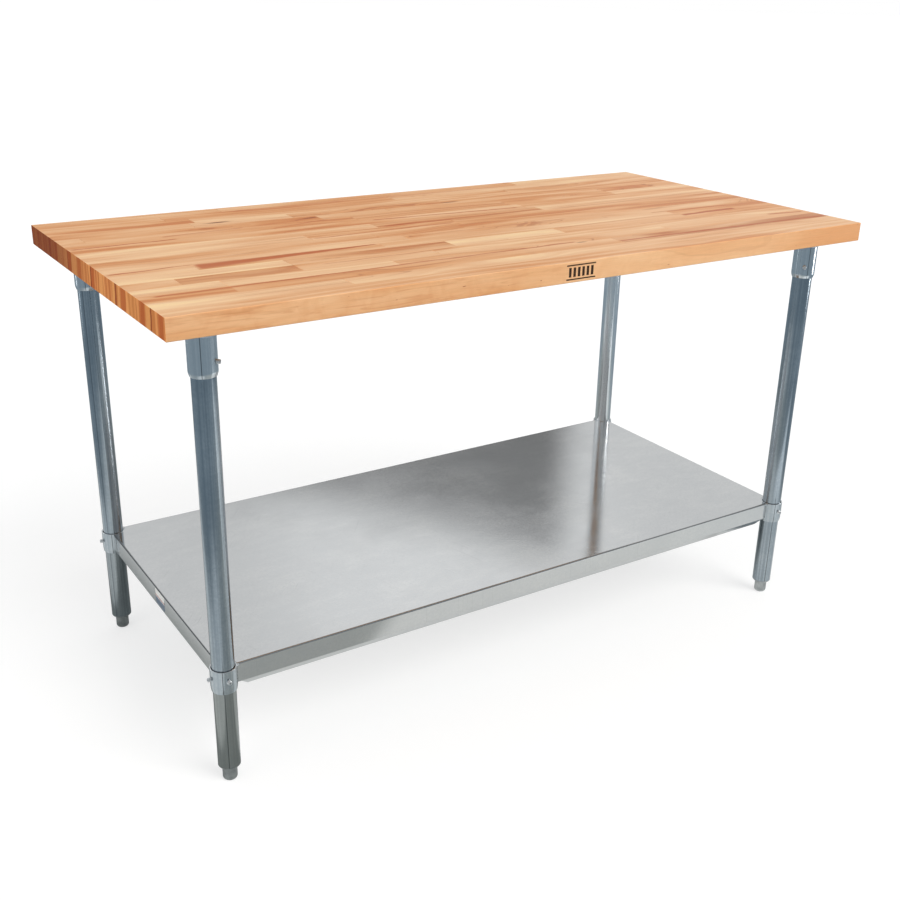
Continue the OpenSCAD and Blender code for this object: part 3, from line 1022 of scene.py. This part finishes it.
def make_collars(material):
    """Shelf collars: a rolled rim above, swaged in below, tacked to the deck's underside."""
    swage_h, swage_in, flare_gap, guide_gap = 9 * MM, 1.2 * MM, 0.8 * MM, 0.35 * MM
    radii = [ROUND, 1.2 * MM, 3 * MM, 0.9 * MM, 0.9 * MM, 2 * MM]
    tack, tack_drop, tack_out = 1.9 * MM, 2.6 * MM, 0.6 * MM
    tack_turn, tack_sweep = 0.62, 0.44
    for corner in CORNERS:
        node = f"shelf_collar_{corner}"
        low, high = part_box(node)
        x, y = centre_of(f"leg_{corner}").xy
        outer = radius_of(node)
        inner = LEG_R + flare_gap
        outline = [
            (LEG_R + guide_gap, low.z),
            (outer - swage_in, low.z),
            (outer, low.z + swage_h),
            (outer, high.z),
            (inner, high.z),
            (inner, low.z + swage_h),
        ]
        bm = bmesh.new()
        turned(bm, softened(outline, radii, True), x, y, True)
        inward = math.atan2(-y, -x)
        for turn in (-tack_turn, tack_turn):
            start = inward + turn - tack_sweep / 2
            weld_bead(bm, x, y, SHELF_TOP - tack_drop, outer + tack_out, tack, start, tack_sweep)
        add_piece(f"collar_sleeve_{corner}", bm, material, [node])


def make_feet(material):
    """Rounded below, chamfered above, with a shallow bore for the stud."""
    foot_round, chamfer, ease, bore_depth = 6 * MM, 1.6 * MM, 0.6 * MM, 4 * MM
    arc_steps = 10
    for corner in CORNERS:
        node = f"foot_{corner}"
        low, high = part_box(node)
        x, y = centre_of(node).xy
        r = radius_of(node)
        bore = radius_of(f"foot_stud_{corner}")
        bore_floor = high.z - bore_depth
        arc = []
        for k in range(arc_steps + 1):
            angle = math.pi / 2 * k / arc_steps
            out = r - foot_round + foot_round * math.sin(angle)
            arc.append((out, low.z + foot_round - foot_round * math.cos(angle)))
        rim = [arc[-1], (r, high.z - chamfer), (r - chamfer, high.z), (bore, high.z)]
        rim = softened(rim, ease, False)
        outline = [(0, low.z), *arc[:-1], *rim, (bore, bore_floor), (0, bore_floor)]
        bm = bmesh.new()
        turned(bm, outline, x, y, False)
        add_piece(f"bullet_foot_{corner}", bm, material, [node])


def make_inserts(material):
    """Plugs pressed into the legs, each with a chamfered shoulder below and a bore."""
    shoulder_h, shoulder_in, rim_h = 3.5 * MM, 2.2 * MM, 1 * MM
    plug_gap, bore_gap, ease = 0.05 * MM, 0.06 * MM, 0.4 * MM
    for corner in CORNERS:
        node = f"foot_insert_{corner}"
        low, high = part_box(node)
        x, y = centre_of(node).xy
        bore = radius_of(f"foot_stud_{corner}") + bore_gap
        plug = LEG_R - LEG_WALL - plug_gap
        outline = [
            (bore, low.z),
            (LEG_R - shoulder_in, low.z),
            (LEG_R, low.z + shoulder_h - rim_h),
            (LEG_R, low.z + shoulder_h),
            (plug, low.z + shoulder_h),
            (plug, high.z),
            (bore, high.z),
        ]
        bm = bmesh.new()
        turned(bm, softened(outline, ease, True), x, y, True)
        add_piece(f"foot_insert_plug_{corner}", bm, material, [node])


# ---- Screws ----


def ring_vert(bm, matrix, radius, angle, height):
    """A vertex at an angle about the Z axis of matrix."""
    return bm.verts.new(matrix @ Vector((radius * math.cos(angle), radius * math.sin(angle), height)))


def thread_rings(bm, radius, pitch, length, matrix, chamfer, steps=24):
    """Rings of a real helical thread along +Z of matrix, chamfered at both its ends."""
    depth = 0.6 * pitch
    per_pitch = 8
    count = max(2, int(length / pitch * per_pitch))
    rings = []
    for i in range(count + 1):
        height = length * i / count
        nearest = min(height, length - height)
        limit = radius - max(0.0, chamfer - nearest)
        ring = []
        for k in range(steps):
            angle = 2 * math.pi * k / steps
            phase = (height / pitch - k / steps) % 1
            # 0 on a crest, 1 in a root
            wave = min(1.0, max(0.0, 2.4 * abs(phase - 0.5) - 0.1))
            ring.append(ring_vert(bm, matrix, min(limit, radius - depth * wave), angle, height))
        rings.append(ring)
    return rings


def flat_ring(bm, radius_at, height, matrix, steps=24):
    """A ring whose radius follows radius_at(angle)."""
    ring = []
    for k in range(steps):
        angle = 2 * math.pi * k / steps
        ring.append(ring_vert(bm, matrix, radius_at(angle), angle, height))
    return ring


def hexagon(across_flats):
    """Radius of a hexagon at an angle."""
    def radius_at(angle):
        return across_flats / 2 / math.cos(angle % (math.pi / 3) - math.pi / 6)

    return radius_at


def tip(bm, height, matrix):
    return [bm.verts.new(matrix @ Vector((0, 0, height)))]


def set_screw(bm, place, outward, length):
    """Socket set screw with a cup point, its head end at place, lying back along -outward."""
    radius, pitch, chamfer = 3.95 * MM, 1.25 * MM, 0.8 * MM
    cup_r, cup_depth = 0.45 * radius, 1.2 * MM
    mouth_r, mouth_depth = 0.68 * radius, 0.3 * MM
    across_flats, hex_depth, drill_tip = 4 * MM, 3.5 * MM, 0.8 * MM
    turn = outward.to_track_quat("Z", "Y").to_matrix().to_4x4()
    matrix = Matrix.Translation(place) @ turn @ Matrix.Translation((0, 0, -length))
    rings = thread_rings(bm, radius, pitch, length, matrix, chamfer)
    cup = [tip(bm, cup_depth, matrix), flat_ring(bm, lambda angle: cup_r, 0, matrix)]
    socket = [
        flat_ring(bm, lambda angle: mouth_r, length, matrix),
        flat_ring(bm, hexagon(across_flats), length - mouth_depth, matrix),
        flat_ring(bm, hexagon(across_flats), length - hex_depth, matrix),
        tip(bm, length - hex_depth - drill_tip, matrix),
    ]
    join_rings(bm, cup + rings + socket)


def make_set_screws(material):
    """Each screw points away from its leg; its length follows from its box and its diameter."""
    legs = [centre_of(f"leg_{corner}") for corner in CORNERS]
    for node in ("socket_set_screws", "shelf_set_screws"):
        bm = bmesh.new()
        for low, high in solid_boxes(node):
            middle = (low + high) / 2
            size = high - low
            nearest = min(legs, key=lambda leg: (leg.xy - middle.xy).length)
            outward = middle - nearest
            outward.z = 0
            outward.normalize()
            length = (size.x + size.y) / (abs(outward.x) + abs(outward.y)) - size.z
            set_screw(bm, middle + outward * length / 2, outward, length)
        add_piece(node.replace("set_screws", "grub_screws"), bm, material, [node])


def make_studs(material):
    pitch, chamfer = 1.95 * MM, 1.2 * MM
    for corner in CORNERS:
        node = f"foot_stud_{corner}"
        low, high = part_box(node)
        middle = centre_of(node)
        bm = bmesh.new()
        matrix = Matrix.Translation((middle.x, middle.y, low.z))
        length = high.z - low.z
        rings = thread_rings(bm, radius_of(node), pitch, length, matrix, chamfer)
        join_rings(bm, [tip(bm, 0, matrix)] + rings + [tip(bm, length, matrix)])
        add_piece(f"threaded_stud_{corner}", bm, material, [node])


def wood_screw(bm, low, high):
    """Pan-head wood screw, driven upward, with a cross recess in its head."""
    middle = (low + high) / 2
    head_r = (high.x - low.x) / 2
    head_h, shank_r, pitch, point = 3 * MM, 2.75 * MM, 2.4 * MM, 5 * MM
    # The recess's half width and reach, as shares of the head's radius, and its depths
    cross_w, cross_reach, cross_depth, cross_middle = 0.13, 0.55, 1.5 * MM, 1.6 * MM
    matrix = Matrix.Translation((middle.x, middle.y, low.z))
    steps = 32
    rings = [tip(bm, cross_middle, matrix)]
    for share in (0.12, 0.24, 0.36, 0.48, 0.6, 0.75, 0.88, 0.97):
        dome = head_h * 0.75 * (1 - math.sqrt(max(0.0, 1 - (share * 0.97) ** 2)))
        ring = []
        for k in range(steps):
            angle = 2 * math.pi * k / steps
            px, py = share * math.cos(angle), share * math.sin(angle)
            in_cross = min(abs(px), abs(py)) < cross_w and share < cross_reach
            deep = cross_depth * (1 - share / 0.75) if in_cross else 0.0
            ring.append(ring_vert(bm, matrix, head_r * share, angle, dome + deep))
        rings.append(ring)
    rings.append(flat_ring(bm, lambda angle: head_r, head_h * 0.85, matrix, steps))
    rings.append(flat_ring(bm, lambda angle: head_r * 0.98, head_h, matrix, steps))
    rings.append(flat_ring(bm, lambda angle: shank_r * 0.8, head_h, matrix, steps))
    length = high.z - low.z - head_h
    start = matrix @ Matrix.Translation((0, 0, head_h))
    rings += thread_rings(bm, shank_r, pitch, length - point, start, 0.1 * MM, steps)
    rings.append(tip(bm, length, start))
    join_rings(bm, rings)


def make_wood_screws(material):
    bm = bmesh.new()
    for low, high in solid_boxes("channel_wood_screws"):
        wood_screw(bm, low, high)
    add_piece("pan_head_screws", bm, material, ["channel_wood_screws"])


# ---- Label and sheet metal ----


def make_label(material):
    """A sticker with rounded corners on the shelf's left edge, its outer rim eased a little."""
    corner_round, ease = 3 * MM, 0.06 * MM
    low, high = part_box("shelf_label")
    outline = [(low.y, low.z), (high.y, low.z), (high.y, high.z), (low.y, high.z)]
    bm = bmesh.new()
    rings = []
    middle = Vector((0, (low.z + high.z) / 2))
    rounded = softened(outline, corner_round, True, 5)
    for x, share in ((high.x, 1), (low.x + ease, 1), (low.x, 0.998)):
        rings.append([bm.verts.new((x, *(middle + (point - middle) * share))) for point in rounded])
    join_rings(bm, rings)
    bm.faces.new(rings[0])
    bm.faces.new(rings[-1])
    add_piece("plain_label", bm, material, ["shelf_label"])


def dress_node(node, material):
    """Gives a CAD node's own mesh a material and a slot."""
    piece = frame["nodes"][node]
    piece.data.materials.clear()
    piece.data.materials.append(material)


def make_table():
    collar = galvanized_tube("galvanized_collar", "b4bcc2", "dee3e6", SHELF_TOP)
    sleeve = galvanized_tube("galvanized_sleeve", "cfd5d9", "eaedef", TOP_HIGH.z)
    sheet = galvanized_sheet()
    zinc = zinc_cast()
    steel = screw_steel()
    make_staves(maple(), maple_end())
    make_legs()
    make_sockets(sleeve)
    make_collars(collar)
    make_feet(zinc)
    make_inserts(zinc)
    make_set_screws(steel)
    make_studs(steel)
    make_wood_screws(steel)
    make_label(label_paper())
    dress_node("shelf_deck", shelf_sheet())
    dress_node("shelf_stiffener", sheet)
    for side in ("left", "right"):
        dress_node(f"mounting_channel_{side}", sheet)


make_camera()
make_world()
make_lights()
make_floor()
make_table()
bpy.context.scene.view_settings.view_transform = "Standard"
